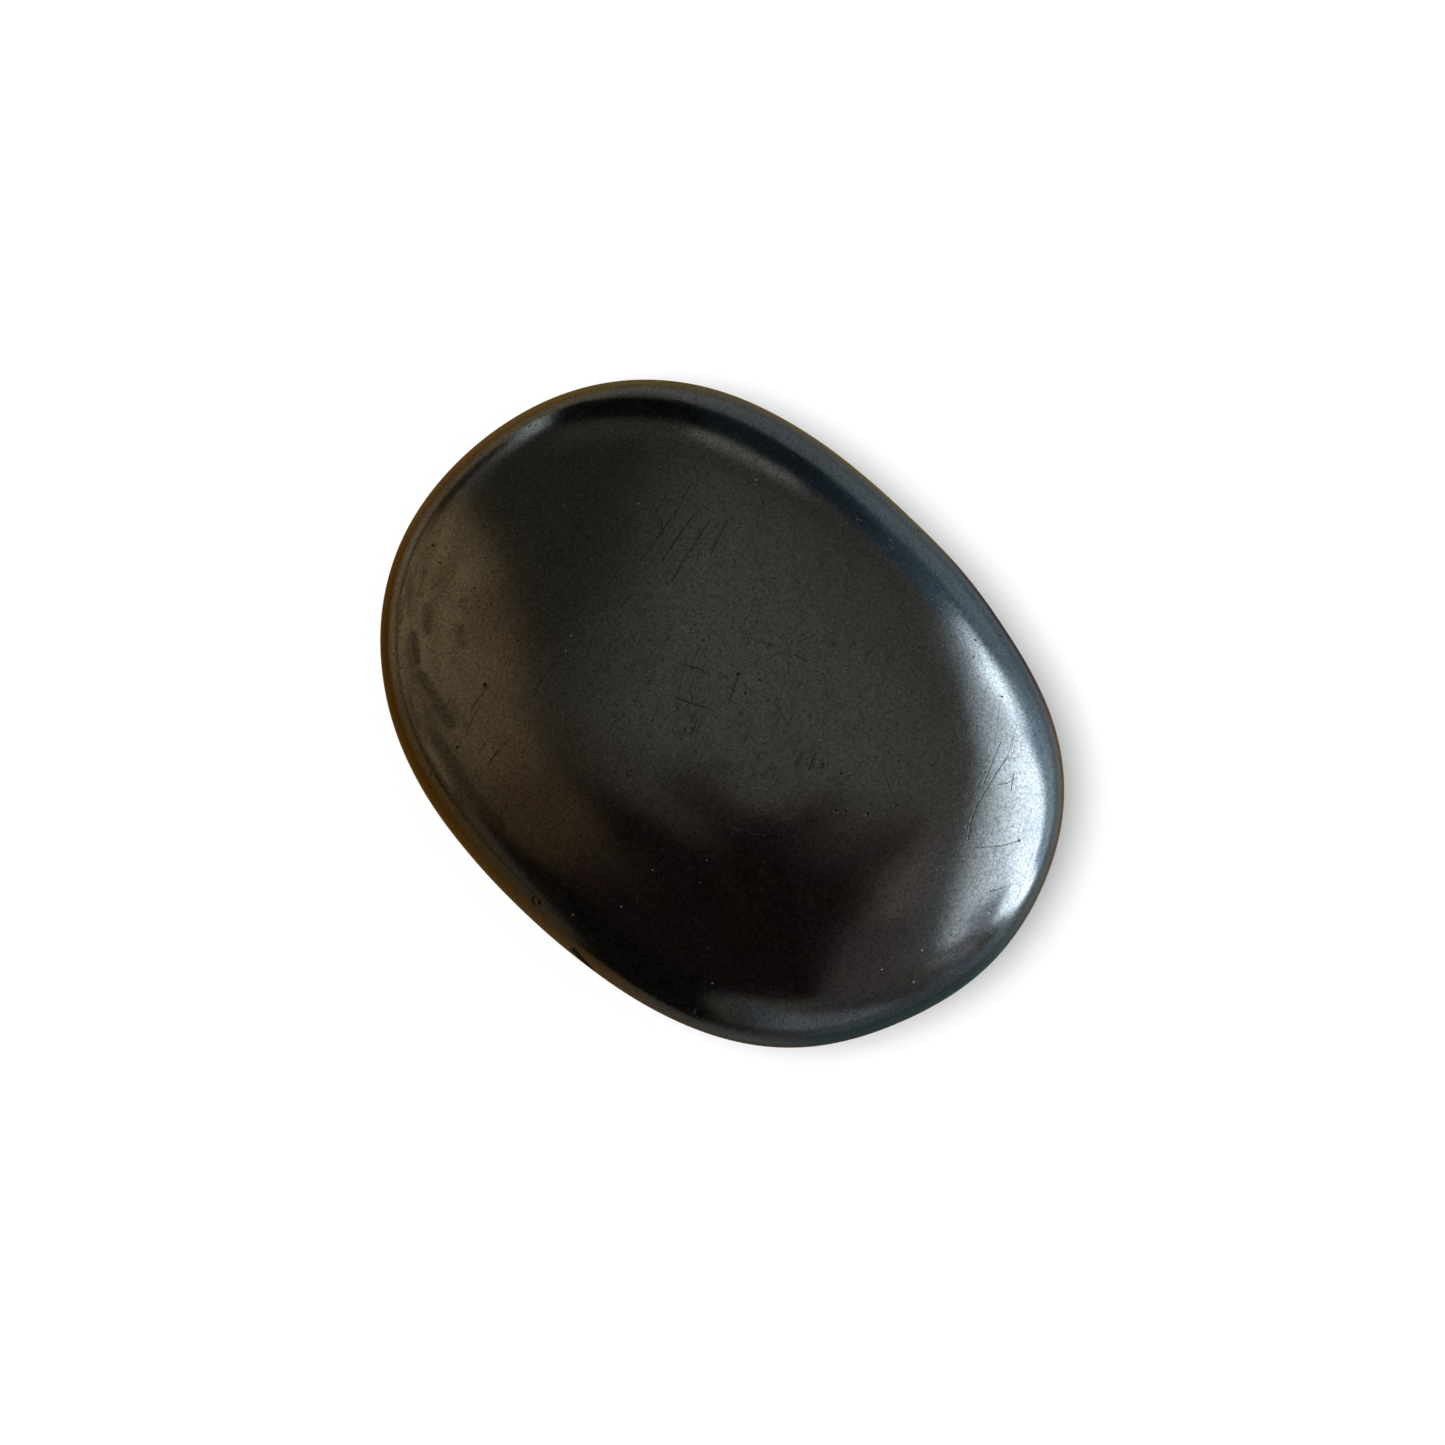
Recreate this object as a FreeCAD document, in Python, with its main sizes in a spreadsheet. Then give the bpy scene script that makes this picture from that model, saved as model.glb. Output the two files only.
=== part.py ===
"""Basalt massage stone: one solid, water-worn and polished pebble.

The stone is a flattened oval. Its outline is a closed curve through a 24-sided control
polygon, given as a radius every 15 degrees round the vertical axis. Every level above the
waist is that outline shrunk towards one point, the crown, which lies off centre, so the crown
end is full and steep and the other end is long and shallow. A level's height and its share of
the outline follow a superellipse: height = rise * sin(a), share = cos(a) ** (2 / exponent).
The under side is a flatter superellipse that shrinks towards its own point, the seat, and ends
in a small worn flat that the stone rests on.

Frame: millimetres, +Z up. The origin is the centre of the outline's box on the resting plane.
+X runs along the long axis towards the crown end.
"""

import FreeCAD, Part
import math
import os

import Sketcher

V = FreeCAD.Vector

# name, value, what it is
SIZES = [
    ("crown_x", 8.0, "crown point along the long axis"),
    ("crown_y", -1.0, "crown point across the stone"),
    ("crown_rise", 10.4, "crown above the waist"),
    ("crown_exponent", 2.5, "fullness of the upper side"),
    ("seat_x", 2.5, "middle of the under side along the long axis"),
    ("seat_y", 0.5, "middle of the under side across the stone"),
    ("base_drop", 10.4, "full depth of the under side below the waist"),
    ("base_exponent", 3.0, "fullness of the under side"),
    ("base_cut", 80.0, "profile angle at which the worn flat starts, degrees"),
]
# control polygon of the outline at the waist, one radius every 15 degrees from +X
OUTLINE = [
    40.71, 40.43, 39.41, 36.61, 32.80, 31.12, 30.19, 31.12,
    33.44, 36.56, 39.06, 40.20, 40.51, 40.49, 38.81, 36.18,
    33.28, 31.07, 30.31, 30.92, 33.01, 35.78, 38.16, 39.19,
]
# profile angle of each level: 0 is the waist, 90 the crown, negative below the waist
UPPER = [11.0, 22.0, 33.0, 44.0, 54.0, 63.0, 71.0, 78.0, 84.0]
LOWER = [11.0, 22.0, 33.0, 44.0, 54.0, 62.0, 69.0, 75.0, 78.0]

doc = FreeCAD.newDocument("massage_stone")
sheet = doc.addObject("Spreadsheet::Sheet", "Sizes")
row = 1


def cell(alias, value, note):
    global row
    sheet.set("A%d" % row, note)
    sheet.set("B%d" % row, repr(value))
    sheet.setAlias("B%d" % row, alias)
    row += 1


for alias, value, note in SIZES:
    cell(alias, value, note)
for k, value in enumerate(OUTLINE):
    cell("outline_radius_%02d" % k, value, "outline control radius at %d degrees" % (15 * k))
for i, value in enumerate(UPPER):
    cell("upper_level_%d" % (i + 1), value, "profile angle of upper level, degrees")
for i, value in enumerate(LOWER):
    cell("lower_level_%d" % (i + 1), value, "profile angle of lower level, degrees")
doc.recompute()

body = doc.addObject("PartDesign::Body", "Stone")
body.Label = "basalt_stone"
ground = [f for f in body.Origin.OriginFeatures if f.Role == "XY_Plane"][0]
COUNT = len(OUTLINE)


def read(alias):
    return float(sheet.get(alias))


def place(alias, side):
    """Share of the outline and height above the resting plane, in numbers and as expressions."""
    exponent = read("crown_exponent" if side > 0 else "base_exponent")
    rise = read("crown_rise" if side > 0 else "base_drop")
    waist = read("base_drop") * math.sin(math.radians(read("base_cut")))
    if alias is None:
        angle, angle_text = 0.0, "0 deg"
    else:
        angle, angle_text = read(alias), "Sizes.%s * 1 deg" % alias
    share = math.cos(math.radians(angle)) ** (2 / exponent)
    height = waist + side * rise * math.sin(math.radians(angle))
    names = ("crown_exponent", "crown_rise") if side > 0 else ("base_exponent", "base_drop")
    share_text = "pow(cos(%s); 2 / Sizes.%s)" % (angle_text, names[0])
    height_text = "(Sizes.base_drop * sin(Sizes.base_cut * 1 deg) %s Sizes.%s * sin(%s)) * 1 mm" % (
        "+" if side > 0 else "-", names[1], angle_text)
    return share, height, share_text, height_text


def level(name, alias, side):
    """One level's closed outline as a sketch on a plane above the ground plane."""
    share, height, share_text, height_text = place(alias, side)
    sketch = body.newObject("Sketcher::SketchObject", name)
    sketch.AttachmentSupport = [(ground, "")]
    sketch.MapMode = "FlatFace"
    sketch.AttachmentOffset = FreeCAD.Placement(V(0, 0, height), FreeCAD.Rotation())
    sketch.setExpression("AttachmentOffset.Base.z", height_text)
    point = "crown" if side > 0 else "seat"
    cx, cy = read(point + "_x"), read(point + "_y")
    poles, texts = [], []
    for k in range(COUNT):
        r, a = read("outline_radius_%02d" % k), math.radians(15 * k)
        poles.append(V(cx + share * (r * math.cos(a) - cx), cy + share * (r * math.sin(a) - cy), 0))
        texts.append([
            "(Sizes.%s_%s + %s * (Sizes.outline_radius_%02d * %s(%d deg) - Sizes.%s_%s)) * 1 mm"
            % (point, axis, share_text, k, wave, 15 * k, point, axis)
            for axis, wave in (("x", "cos"), ("y", "sin"))
        ])
    curve = Part.BSplineCurve()
    curve.buildFromPolesMultsKnots(poles, [1] * (COUNT + 1), list(range(COUNT + 1)), True, 3)
    spline = sketch.addGeometry(curve, False)
    sketch.exposeInternalGeometry(spline)
    for k in range(COUNT):
        for kind, value, text in (("DistanceX", poles[k].x, texts[k][0]), ("DistanceY", poles[k].y, texts[k][1])):
            index = sketch.addConstraint(Sketcher.Constraint(kind, -1, 1, spline + 1 + k, 3, value))
            label = "%s_%02d" % ("along" if kind == "DistanceX" else "across", k)
            sketch.renameConstraint(index, label)
            sketch.setExpression("Constraints." + label, text)
    return sketch


levels = []
for i in range(len(LOWER), 0, -1):
    levels.append(level("Lower%d" % i, "lower_level_%d" % i, -1))
levels.insert(0, level("RestingFlat", "base_cut", -1))
levels.append(level("Waist", None, 1))
for i in range(1, len(UPPER) + 1):
    levels.append(level("Upper%d" % i, "upper_level_%d" % i, 1))
doc.recompute()

loft = body.newObject("PartDesign::AdditiveLoft", "StoneBody")
loft.Profile = levels[0]
loft.Sections = levels[1:]
loft.Ruled = False
loft.Closed = False
body.Tip = loft
doc.recompute()

wrong = [o.Name for o in doc.Objects if "Invalid" in o.State or "Error" in o.State]
if wrong:
    raise RuntimeError("failed to recompute: %s" % wrong)

os.makedirs("parts", exist_ok=True)
for piece in (body,):
    shape = piece.Shape
    if shape.isNull() or not shape.isValid() or len(shape.Solids) != 1:
        raise RuntimeError("%s has no valid solid" % piece.Label)
    box = shape.BoundBox
    print("%s: %.2f x %.2f x %.2f mm from z %.3f, %.2f cm3, %d faces" % (
        piece.Label, box.XLength, box.YLength, box.ZLength, box.ZMin, shape.Volume / 1000, len(shape.Faces)))
    shape.exportStep("parts/%s.step" % piece.Label)
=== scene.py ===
# Basalt massage stone: one polished pebble lying flat, +Z up, its long axis along X.
# The chips, pits and scratches are geometry; grain and polish marks are a procedural material.
# Blender is fed metres. The shape and its wear are worked out in millimetres.
import math
from collections import namedtuple

import bmesh
import bpy
import numpy as np
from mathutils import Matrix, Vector


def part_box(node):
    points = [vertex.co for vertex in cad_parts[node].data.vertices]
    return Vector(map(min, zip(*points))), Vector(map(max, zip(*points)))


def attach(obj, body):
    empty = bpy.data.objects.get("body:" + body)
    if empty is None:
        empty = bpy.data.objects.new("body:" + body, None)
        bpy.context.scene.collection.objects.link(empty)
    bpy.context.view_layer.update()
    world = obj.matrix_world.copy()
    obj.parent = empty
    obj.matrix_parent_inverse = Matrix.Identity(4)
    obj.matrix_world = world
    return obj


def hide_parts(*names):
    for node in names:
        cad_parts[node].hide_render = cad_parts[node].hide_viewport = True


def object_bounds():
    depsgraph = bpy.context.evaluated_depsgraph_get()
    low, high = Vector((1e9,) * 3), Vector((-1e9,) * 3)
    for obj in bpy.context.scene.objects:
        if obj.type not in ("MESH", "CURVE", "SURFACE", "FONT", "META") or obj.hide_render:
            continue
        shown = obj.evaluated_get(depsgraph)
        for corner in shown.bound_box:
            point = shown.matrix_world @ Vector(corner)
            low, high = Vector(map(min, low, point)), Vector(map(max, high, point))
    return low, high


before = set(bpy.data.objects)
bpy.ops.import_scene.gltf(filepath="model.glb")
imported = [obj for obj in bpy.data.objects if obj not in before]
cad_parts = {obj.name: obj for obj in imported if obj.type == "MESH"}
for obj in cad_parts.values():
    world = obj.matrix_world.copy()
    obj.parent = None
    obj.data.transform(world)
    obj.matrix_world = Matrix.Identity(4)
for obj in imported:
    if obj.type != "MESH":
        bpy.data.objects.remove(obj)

CAD_LO, CAD_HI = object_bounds()
NODE = "basalt_stone"
BOX_LO, BOX_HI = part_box(NODE)
MM = 0.001
TURN = math.radians(43.5)      # the camera's right-hand direction, counted from +X
EYE_HEIGHT = 400.0             # camera above the stone's waist, mm
FRAME_WIDTH = 157.88           # width of the camera's view at the waist, mm
FRAME_CENTRE = (0.301, -0.569)  # view centre from the stone's: right and up in the view, mm

# ---------------------------------------------------------------- the stone's shape, in mm
# Radii of the waist outline's spline poles, evenly spaced round the stone from +X.
POLE_RADII = np.array([
    40.71, 40.43, 39.41, 36.61, 32.80, 31.12, 30.19, 31.12,
    33.44, 36.56, 39.06, 40.20, 40.51, 40.49, 38.81, 36.18,
    33.28, 31.07, 30.31, 30.92, 33.01, 35.78, 38.16, 39.19])
CROWN = np.array([8.0, -1.0])  # (x, y) of the highest point
SEAT = np.array([2.5, 0.5])    # (x, y) of the middle of the underside
RISE, CROWN_EXP = 10.4, 2.5    # height above the waist, and how square the shoulder is
DROP, SEAT_EXP = 10.4, 3.0     # the same below the waist
WAIST = DROP * math.sin(math.radians(80.0))
WORN_BEND = 0.08               # half height of the bend where the resting flat meets the side

# Slow waviness of the surface: a sum of sine waves.
WAVE_SEED, WAVE_COUNT = 11, 24
WAVE_SHORTEST, WAVE_SPREAD = 7.0, 15.0
WAVE_SLOPE = 0.00032           # height of a wave per mm of its length

SPHERE_CUTS = 80               # faces along each side of the six grids
NORMAL_STEP = 1e-3             # step over the unit sphere for normals
FINE_NORMAL_STEP = 6e-4


def outline(turn):
    """Points of the waist outline at parameter turn, a uniform periodic cubic B-spline."""
    count = len(POLE_RADII)
    angle = np.arange(count) * 2 * math.pi / count
    poles = np.stack([POLE_RADII * np.cos(angle), POLE_RADII * np.sin(angle)], 1)
    along = (turn / (2 * math.pi) * count) % count
    i = np.floor(along).astype(int)
    part = (along - i)[:, None]
    return (poles[(i - 1) % count] * (1 - part) ** 3 / 6
            + poles[i % count] * (3 * part ** 3 - 6 * part ** 2 + 4) / 6
            + poles[(i + 1) % count] * (-3 * part ** 3 + 3 * part ** 2 + 3 * part + 1) / 6
            + poles[(i + 2) % count] * part ** 3 / 6)


def shape_stone(sphere):
    """Maps points of the unit sphere to the stone's surface."""
    share = np.clip(np.hypot(sphere[:, 0], sphere[:, 1]), 0, 1)
    edge = outline(np.arctan2(sphere[:, 1], sphere[:, 0]))
    top = sphere[:, 2] >= 0
    centre = np.where(top[:, None], CROWN, SEAT)
    flat = centre + share[:, None] * (edge - centre)
    up = WAIST + RISE * np.sqrt(np.clip(1 - share ** CROWN_EXP, 0, 1))
    down = WAIST - DROP * np.sqrt(np.clip(1 - share ** SEAT_EXP, 0, 1))
    bend = np.where(down < -WORN_BEND, 0.0, (down + WORN_BEND) ** 2 / (4 * WORN_BEND))
    down = np.where(down > WORN_BEND, down, bend)
    return np.column_stack([flat, np.where(top, up, down)])


def undulate(points):
    """Slow, shallow waviness that tumbling leaves, in mm along the surface normal."""
    total = np.zeros(len(points))
    draws = np.random.default_rng(WAVE_SEED).normal(size=(WAVE_COUNT, 4))
    for row, (*direction, phase) in enumerate(draws):
        direction = np.array(direction)
        wave = WAVE_SHORTEST + WAVE_SPREAD * ((row * 7) % WAVE_COUNT) / WAVE_COUNT
        direction = direction / np.linalg.norm(direction) * 2 * math.pi / wave
        total += np.sin(points @ direction + phase * 3) * wave
    return total * WAVE_SLOPE


def unit(vectors):
    return vectors / np.linalg.norm(vectors, axis=1)[:, None]


def normals(shape, sphere, step):
    """Normals of the surface shape(sphere), by small steps over the unit sphere."""
    other = np.where(np.abs(sphere[:, 2:]) < 0.9, [[0.0, 0.0, 1.0]], [[1.0, 0.0, 0.0]])
    side = unit(np.cross(other, sphere))
    ahead = np.cross(sphere, side)
    slope_side = shape(unit(sphere + side * step)) - shape(unit(sphere - side * step))
    slope_ahead = shape(unit(sphere + ahead * step)) - shape(unit(sphere - ahead * step))
    return unit(np.cross(slope_side, slope_ahead))


def on_top(x, y):
    """Point of the unit sphere whose place on the top side of the stone is (x, y)."""
    turns = np.linspace(0, 2 * math.pi, 7201)
    spokes = outline(turns) - CROWN
    wanted = math.atan2(y - CROWN[1], x - CROWN[0])
    miss = np.abs(np.angle(np.exp(1j * (np.arctan2(spokes[:, 1], spokes[:, 0]) - wanted))))
    best = int(np.argmin(miss))
    share = min(math.hypot(x - CROWN[0], y - CROWN[1]) / math.hypot(*spokes[best]), 0.9995)
    return np.array([[share * math.cos(turns[best]), share * math.sin(turns[best]),
                      math.sqrt(1 - share * share)]])


# ---------------------------------------------------------------- wear, painted shade and painted glints laid on the top side
# Hairlines and patches by kind: half width in mm, strength, then points (x, y) in mm.
# "dark" scratches are painted darker, as shade in their grooves, "pale" ones are fresh and painted
# lighter, partly as painted glints, a "smudge" is a dull patch of wax.
LINES = {
    "dark": [
        (0.083, 0.78, (-19.5, 15.9), (-18.6, 12.9), (-18.0, 8.9), (-17.7, 6.3)),
        (0.083, 1.00, (-15.3, 14.4), (-14.3, 9.2), (-13.7, 7.0)),
        (0.083, 1.00, (-13.9, 15.8), (-12.7, 11.9)),
        (0.083, 1.00, (-17.0, 13.9), (-16.4, 10.1), (-16.0, 7.9)),
        (0.083, 1.00, (-18.8, 10.7), (-18.0, 10.0)),
        (0.074, 1.00, (-6.8, 1.3), (-5.4, 2.1), (-3.8, 2.5)),
        (0.074, 1.00, (-4.9, -1.7), (-3.3, -1.1), (-1.9, -0.4)),
        (0.083, 0.91, (-1.7, 4.7), (-0.3, 1.6)), (0.083, 1.00, (0.6, 11.8), (1.3, 13.3)),
        (0.083, 1.00, (1.2, 10.3), (2.6, 10.7)), (0.092, 0.91, (6.7, 16.7), (7.0, 14.9)),
        (0.092, 0.91, (8.2, 18.4), (8.9, 16.4)),
        (0.083, 1.00, (-16.8, -6.7), (-16.8, -9.3), (-15.8, -12.2)),
        (0.092, 0.91, (-20.3, -14.7), (-20.0, -17.8)),
        (0.092, 0.65, (-19.5, -16.8), (-18.7, -20.0)),
        (0.092, 0.91, (-14.8, -18.9), (-14.5, -21.0)),
        (0.074, 0.65, (-14.8, -16.7), (-14.6, -19.7)),
        (0.083, 1.00, (27.1, 17.3), (28.1, 15.8)),
        (0.064, 1.00, (26.5, 15.2), (27.2, 16.0), (27.6, 17.2)),
        (0.092, 1.00, (25.3, 18.0), (25.7, 15.7), (26.4, 12.2), (27.2, 10.3), (28.3, 8.8)),
        (0.083, 0.78, (23.7, 18.8), (24.8, 15.8), (25.4, 14.2)),
        (0.074, 1.00, (29.4, 8.6), (31.4, 10.7), (32.6, 12.7)),
        (0.083, 1.00, (34.0, 6.4), (35.0, 8.0)), (0.101, 0.91, (34.8, -2.5), (35.4, -1.1)),
        (0.092, 0.78, (15.9, 8.2), (18.5, 6.9), (20.0, 6.4)),
        (0.074, 0.91, (-2.5, 8.8), (-1.3, 9.3)), (0.074, 0.78, (-0.2, 9.4), (1.2, 9.9)),
        (0.064, 0.78, (24.6, 25.9), (26.2, 25.1)), (0.064, 1.00, (-28.9, -20.1), (-28.5, -19.7)),
        (0.064, 0.78, (-29.4, -20.4), (-29.4, -19.6)), (0.064, 0.65, (-8.1, -13.9), (-8.2, -11.4)),
        (0.064, 0.78, (-19.8, -18.0), (-19.9, -16.7)),
        (0.064, 0.78, (-16.1, -20.7), (-16.4, -18.9)),
        (0.059, 0.65, (-20.7, 13.5), (-20.2, 11.8)), (0.059, 0.52, (-14.4, 13.9), (-14.4, 11.2)),
        (0.059, 0.59, (-14.2, 15.9), (-13.8, 14.5), (-13.0, 12.1)),
        (0.059, 1.00, (-19.3, 11.1), (-18.5, 10.5)), (0.059, 0.91, (-18.0, 10.1), (-18.3, 8.5)),
        (0.059, 0.52, (-15.1, 9.1), (-14.7, 6.8)), (0.059, 0.45, (-16.2, 11.4), (-15.3, 7.7)),
        (0.059, 0.52, (-16.6, 13.9), (-16.3, 12.4)), (0.059, 0.91, (-7.8, 10.7), (-7.0, 10.7)),
        (0.059, 0.39, (-16.9, 8.4), (-16.6, 5.7)), (0.059, 1.00, (-1.8, 9.3), (-0.8, 9.6)),
        (0.059, 0.78, (3.0, 4.0), (4.4, 4.3)),
        (0.059, 0.33, (-7.6, -4.6), (-7.7, -6.9), (-7.8, -10.8)),
        (0.059, 0.39, (-16.1, -3.6), (-15.2, -7.0)), (0.059, 0.39, (-12.6, -16.9), (-11.6, -21.9)),
        (0.059, 0.39, (-12.3, -19.6), (-12.0, -23.8)), (0.059, 0.39, (-18.5, -5.9), (-17.8, -8.5)),
        (0.059, 0.59, (9.8, 5.9), (12.5, 3.7)), (0.059, 0.52, (14.5, 2.8), (16.8, 1.7))],
    "pale": [
        (0.08, 1.0, (-4.5, 25.9), (-3.5, 25.8)), (0.09, 1.0, (-0.2, 26.7), (1.3, 25.7)),
        (0.08, 0.8, (0.6, 26.8), (0.8, 25.8)), (0.08, 1.0, (19.8, -24.5), (20.0, -25.4)),
        (0.08, 0.5, (34.8, 0.9), (34.0, 4.0)), (0.07, 0.5, (17.1, -26.1), (18.9, -24.6)),
        (0.08, 0.7, (31.2, -7.6), (31.3, -5.5)), (0.08, 0.7, (-21.1, 1.0), (-20.0, 0.3)),
        (0.07, 0.6, (6.5, -19.3), (7.4, -20.8)), (0.07, 0.6, (13.8, -17.6), (14.6, -17.5)),
        (0.08, 0.8, (-8.9, -1.2), (-9.2, -1.9)), (0.07, 0.8, (-8.9, -1.2), (-9.1, -0.6)),
        (0.07, 0.8, (-8.9, -1.2), (-8.2, -1.0)), (0.08, 0.8, (-7.0, -4.6), (-7.3, -5.1)),
        (0.07, 0.8, (-7.0, -4.6), (-7.2, -3.8)), (0.07, 0.7, (-22.0, 2.9), (-21.1, 2.7)),
        (0.07, 0.7, (-18.8, 1.6), (-19.0, 2.4)), (0.07, 0.7, (-18.1, 2.2), (-17.0, 1.7)),
        (0.07, 0.6, (-17.6, -2.1), (-16.9, -1.9)), (0.07, 0.5, (7.7, -8.1), (9.9, -7.3)),
        (0.07, 0.5, (10.7, -6.9), (12.0, -5.8)), (0.07, 0.5, (10.4, -19.8), (9.9, -18.4)),
        (0.07, 0.6, (12.2, -17.7), (13.9, -17.3)), (0.08, 0.8, (-4.2, 25.7), (-3.5, 25.3)),
        (0.08, 0.9, (-0.3, 26.5), (0.4, 26.6)), (0.07, 0.8, (1.2, 25.5), (0.8, 26.3)),
        (0.07, 0.6, (16.8, -28.0), (16.8, -26.5)), (0.07, 0.7, (20.1, -25.2), (19.8, -24.3))],
    "smudge": [
        (0.60, 0.60, (-30.1, -16.3), (-27.9, -18.1)), (0.70, 0.43, (-31.0, -13.2), (-29.3, -14.9)),
        (0.59, 0.32, (-34.0, -10.6), (-32.6, -12.6)), (0.70, 0.36, (-26.9, -12.3), (-25.6, -13.2)),
        (0.78, 0.52, (-26.4, -18.9), (-20.6, -20.5)), (0.59, 0.26, (-28.5, -10.0), (-28.1, -10.3)),
        (0.70, 0.29, (-33.9, -14.6), (-32.4, -16.3)), (0.94, 0.41, (-20.6, -22.6), (-14.1, -24.2)),
        (0.94, 0.32, (-14.1, -24.2), (-9.1, -24.8)), (0.70, 0.29, (-17.3, -24.3), (-14.0, -25.6)),
        (1.64, 0.09, (1.8, 1.0), (2.7, 0.9)), (1.40, 0.11, (7.0, 3.5), (7.9, 3.6)),
        (1.05, 0.13, (3.2, -4.0), (4.1, -3.6)), (1.87, 0.08, (-3.4, 0.8), (-2.2, 0.5)),
        (0.94, 0.09, (-2.8, -2.5), (-1.6, -0.8)), (1.17, 0.09, (8.0, 4.0), (8.9, 3.9)),
        (0.94, 0.11, (11.1, 8.9), (11.9, 8.5))],
}
LINE_DEPTH = {"dark": 0.010, "pale": 0.006, "smudge": 0.0}   # mm at full strength
# Small chips, pits and specks of dust by kind: x, y, radius, depth in mm.
# The chips and pits are also painted darker, as shade in their hollows.
SPOTS = {
    "ring": [(-0.6, -28.1, 0.60, 0.05)],
    "nick": [(1.7, 29.5, 0.45, 0.07)],
    "pit": [
        (-20.6, -14.8, 0.30, 0.06), (-18.2, -21.8, 0.26, 0.05), (-30.4, -19.4, 0.20, 0.03),
        (-18.4, -26.0, 0.24, 0.04), (15.8, 1.2, 0.22, 0.04), (16.6, 1.9, 0.22, 0.04),
        (18.5, 3.3, 0.22, 0.05), (20.1, 6.0, 0.30, 0.04), (13.5, 4.5, 0.20, 0.03),
        (11.4, 3.8, 0.20, 0.03), (15.6, 9.6, 0.20, 0.03), (35.6, 4.8, 0.20, 0.04),
        (18.0, 26.7, 0.20, 0.04), (18.9, 26.4, 0.18, 0.04), (20.2, 26.2, 0.20, 0.04),
        (14.2, 25.0, 0.18, 0.03), (-35.3, -7.8, 0.26, 0.05), (-33.4, -8.6, 0.20, 0.03),
        (-33.9, -10.7, 0.20, 0.03), (-6.9, 4.7, 0.20, 0.03), (0.4, 5.8, 0.18, 0.03),
        (-1.7, 4.7, 0.18, 0.03), (0.2, 3.7, 0.18, 0.03), (11.6, 3.6, 0.20, 0.03),
        (3.0, -26.5, 0.25, 0.04), (24.7, 27.7, 0.20, 0.03), (-3.1, 27.6, 0.20, 0.04),
        (37.8, 14.0, 0.20, 0.03), (22.1, 25.4, 0.20, 0.03), (20.8, 24.2, 0.18, 0.03),
        (20.5, 22.5, 0.18, 0.03), (32.5, 12.5, 0.22, 0.04)],
    "speck": [
        (-17.5, -4.6, 0.14, 0.0), (-22.1, 10.6, 0.14, 0.0), (34.8, -6.3, 0.22, 0.0),
        (33.0, -3.2, 0.20, 0.0), (-14.7, 21.2, 0.12, 0.0), (19.1, -21.3, 0.16, 0.0),
        (6.3, -22.0, 0.14, 0.0), (3.2, -26.3, 0.14, 0.0), (5.8, 33.1, 0.14, 0.0),
        (1.9, 29.5, 0.16, 0.0), (-4.1, 28.4, 0.14, 0.0), (31.3, -7.7, 0.16, 0.0),
        (-16.8, -6.2, 0.10, 0.0), (6.0, -16.8, 0.10, 0.0), (9.5, -12.0, 0.10, 0.0)],
}
# Gouge in the rim: its two ends, half width and depth in mm, and the way it faces.
# The notch is painted darker too, as shade in it.
NOTCH_ENDS = ((5.9, -29.3), (8.7, -29.5))
NOTCH_HALF, NOTCH_DEPTH = 0.60, 0.26
NOTCH_FACING = np.array([0.2, -0.96, 0.2])

Mark = namedtuple("Mark", "kind half strength depth start end normal")


def surface_point(x, y):
    return shape_stone(on_top(x, y))[0]


def surface_normal(x, y):
    return normals(shape_stone, on_top(x, y), NORMAL_STEP)[0]


def laid_marks():
    """Every mark, with its ends on the surface."""
    marks = []
    for kind, rows in LINES.items():
        for half, strength, *points in rows:
            for (xa, ya), (xb, yb) in zip(points[:-1], points[1:]):
                marks.append(Mark(kind, half, strength, LINE_DEPTH[kind] * strength,
                                  surface_point(xa, ya), surface_point(xb, yb),
                                  surface_normal((xa + xb) / 2, (ya + yb) / 2)))
    for kind, rows in SPOTS.items():
        for x, y, radius, depth in rows:
            at = surface_point(x, y)
            marks.append(Mark(kind, radius, 1.0, depth, at, at, surface_normal(x, y)))
    ends = [surface_point(x, y) for x, y in NOTCH_ENDS]
    marks.append(Mark("notch", NOTCH_HALF, 1.0, NOTCH_DEPTH, *ends, NOTCH_FACING))
    return marks


def offset_from(mark, points):
    """Vectors to the points from the nearest place on the mark's centre line."""
    away, run = points - mark.start, mark.end - mark.start
    along = np.clip(away @ run / max(run @ run, 1e-9), 0, 1)
    return away - along[:, None] * run


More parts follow.
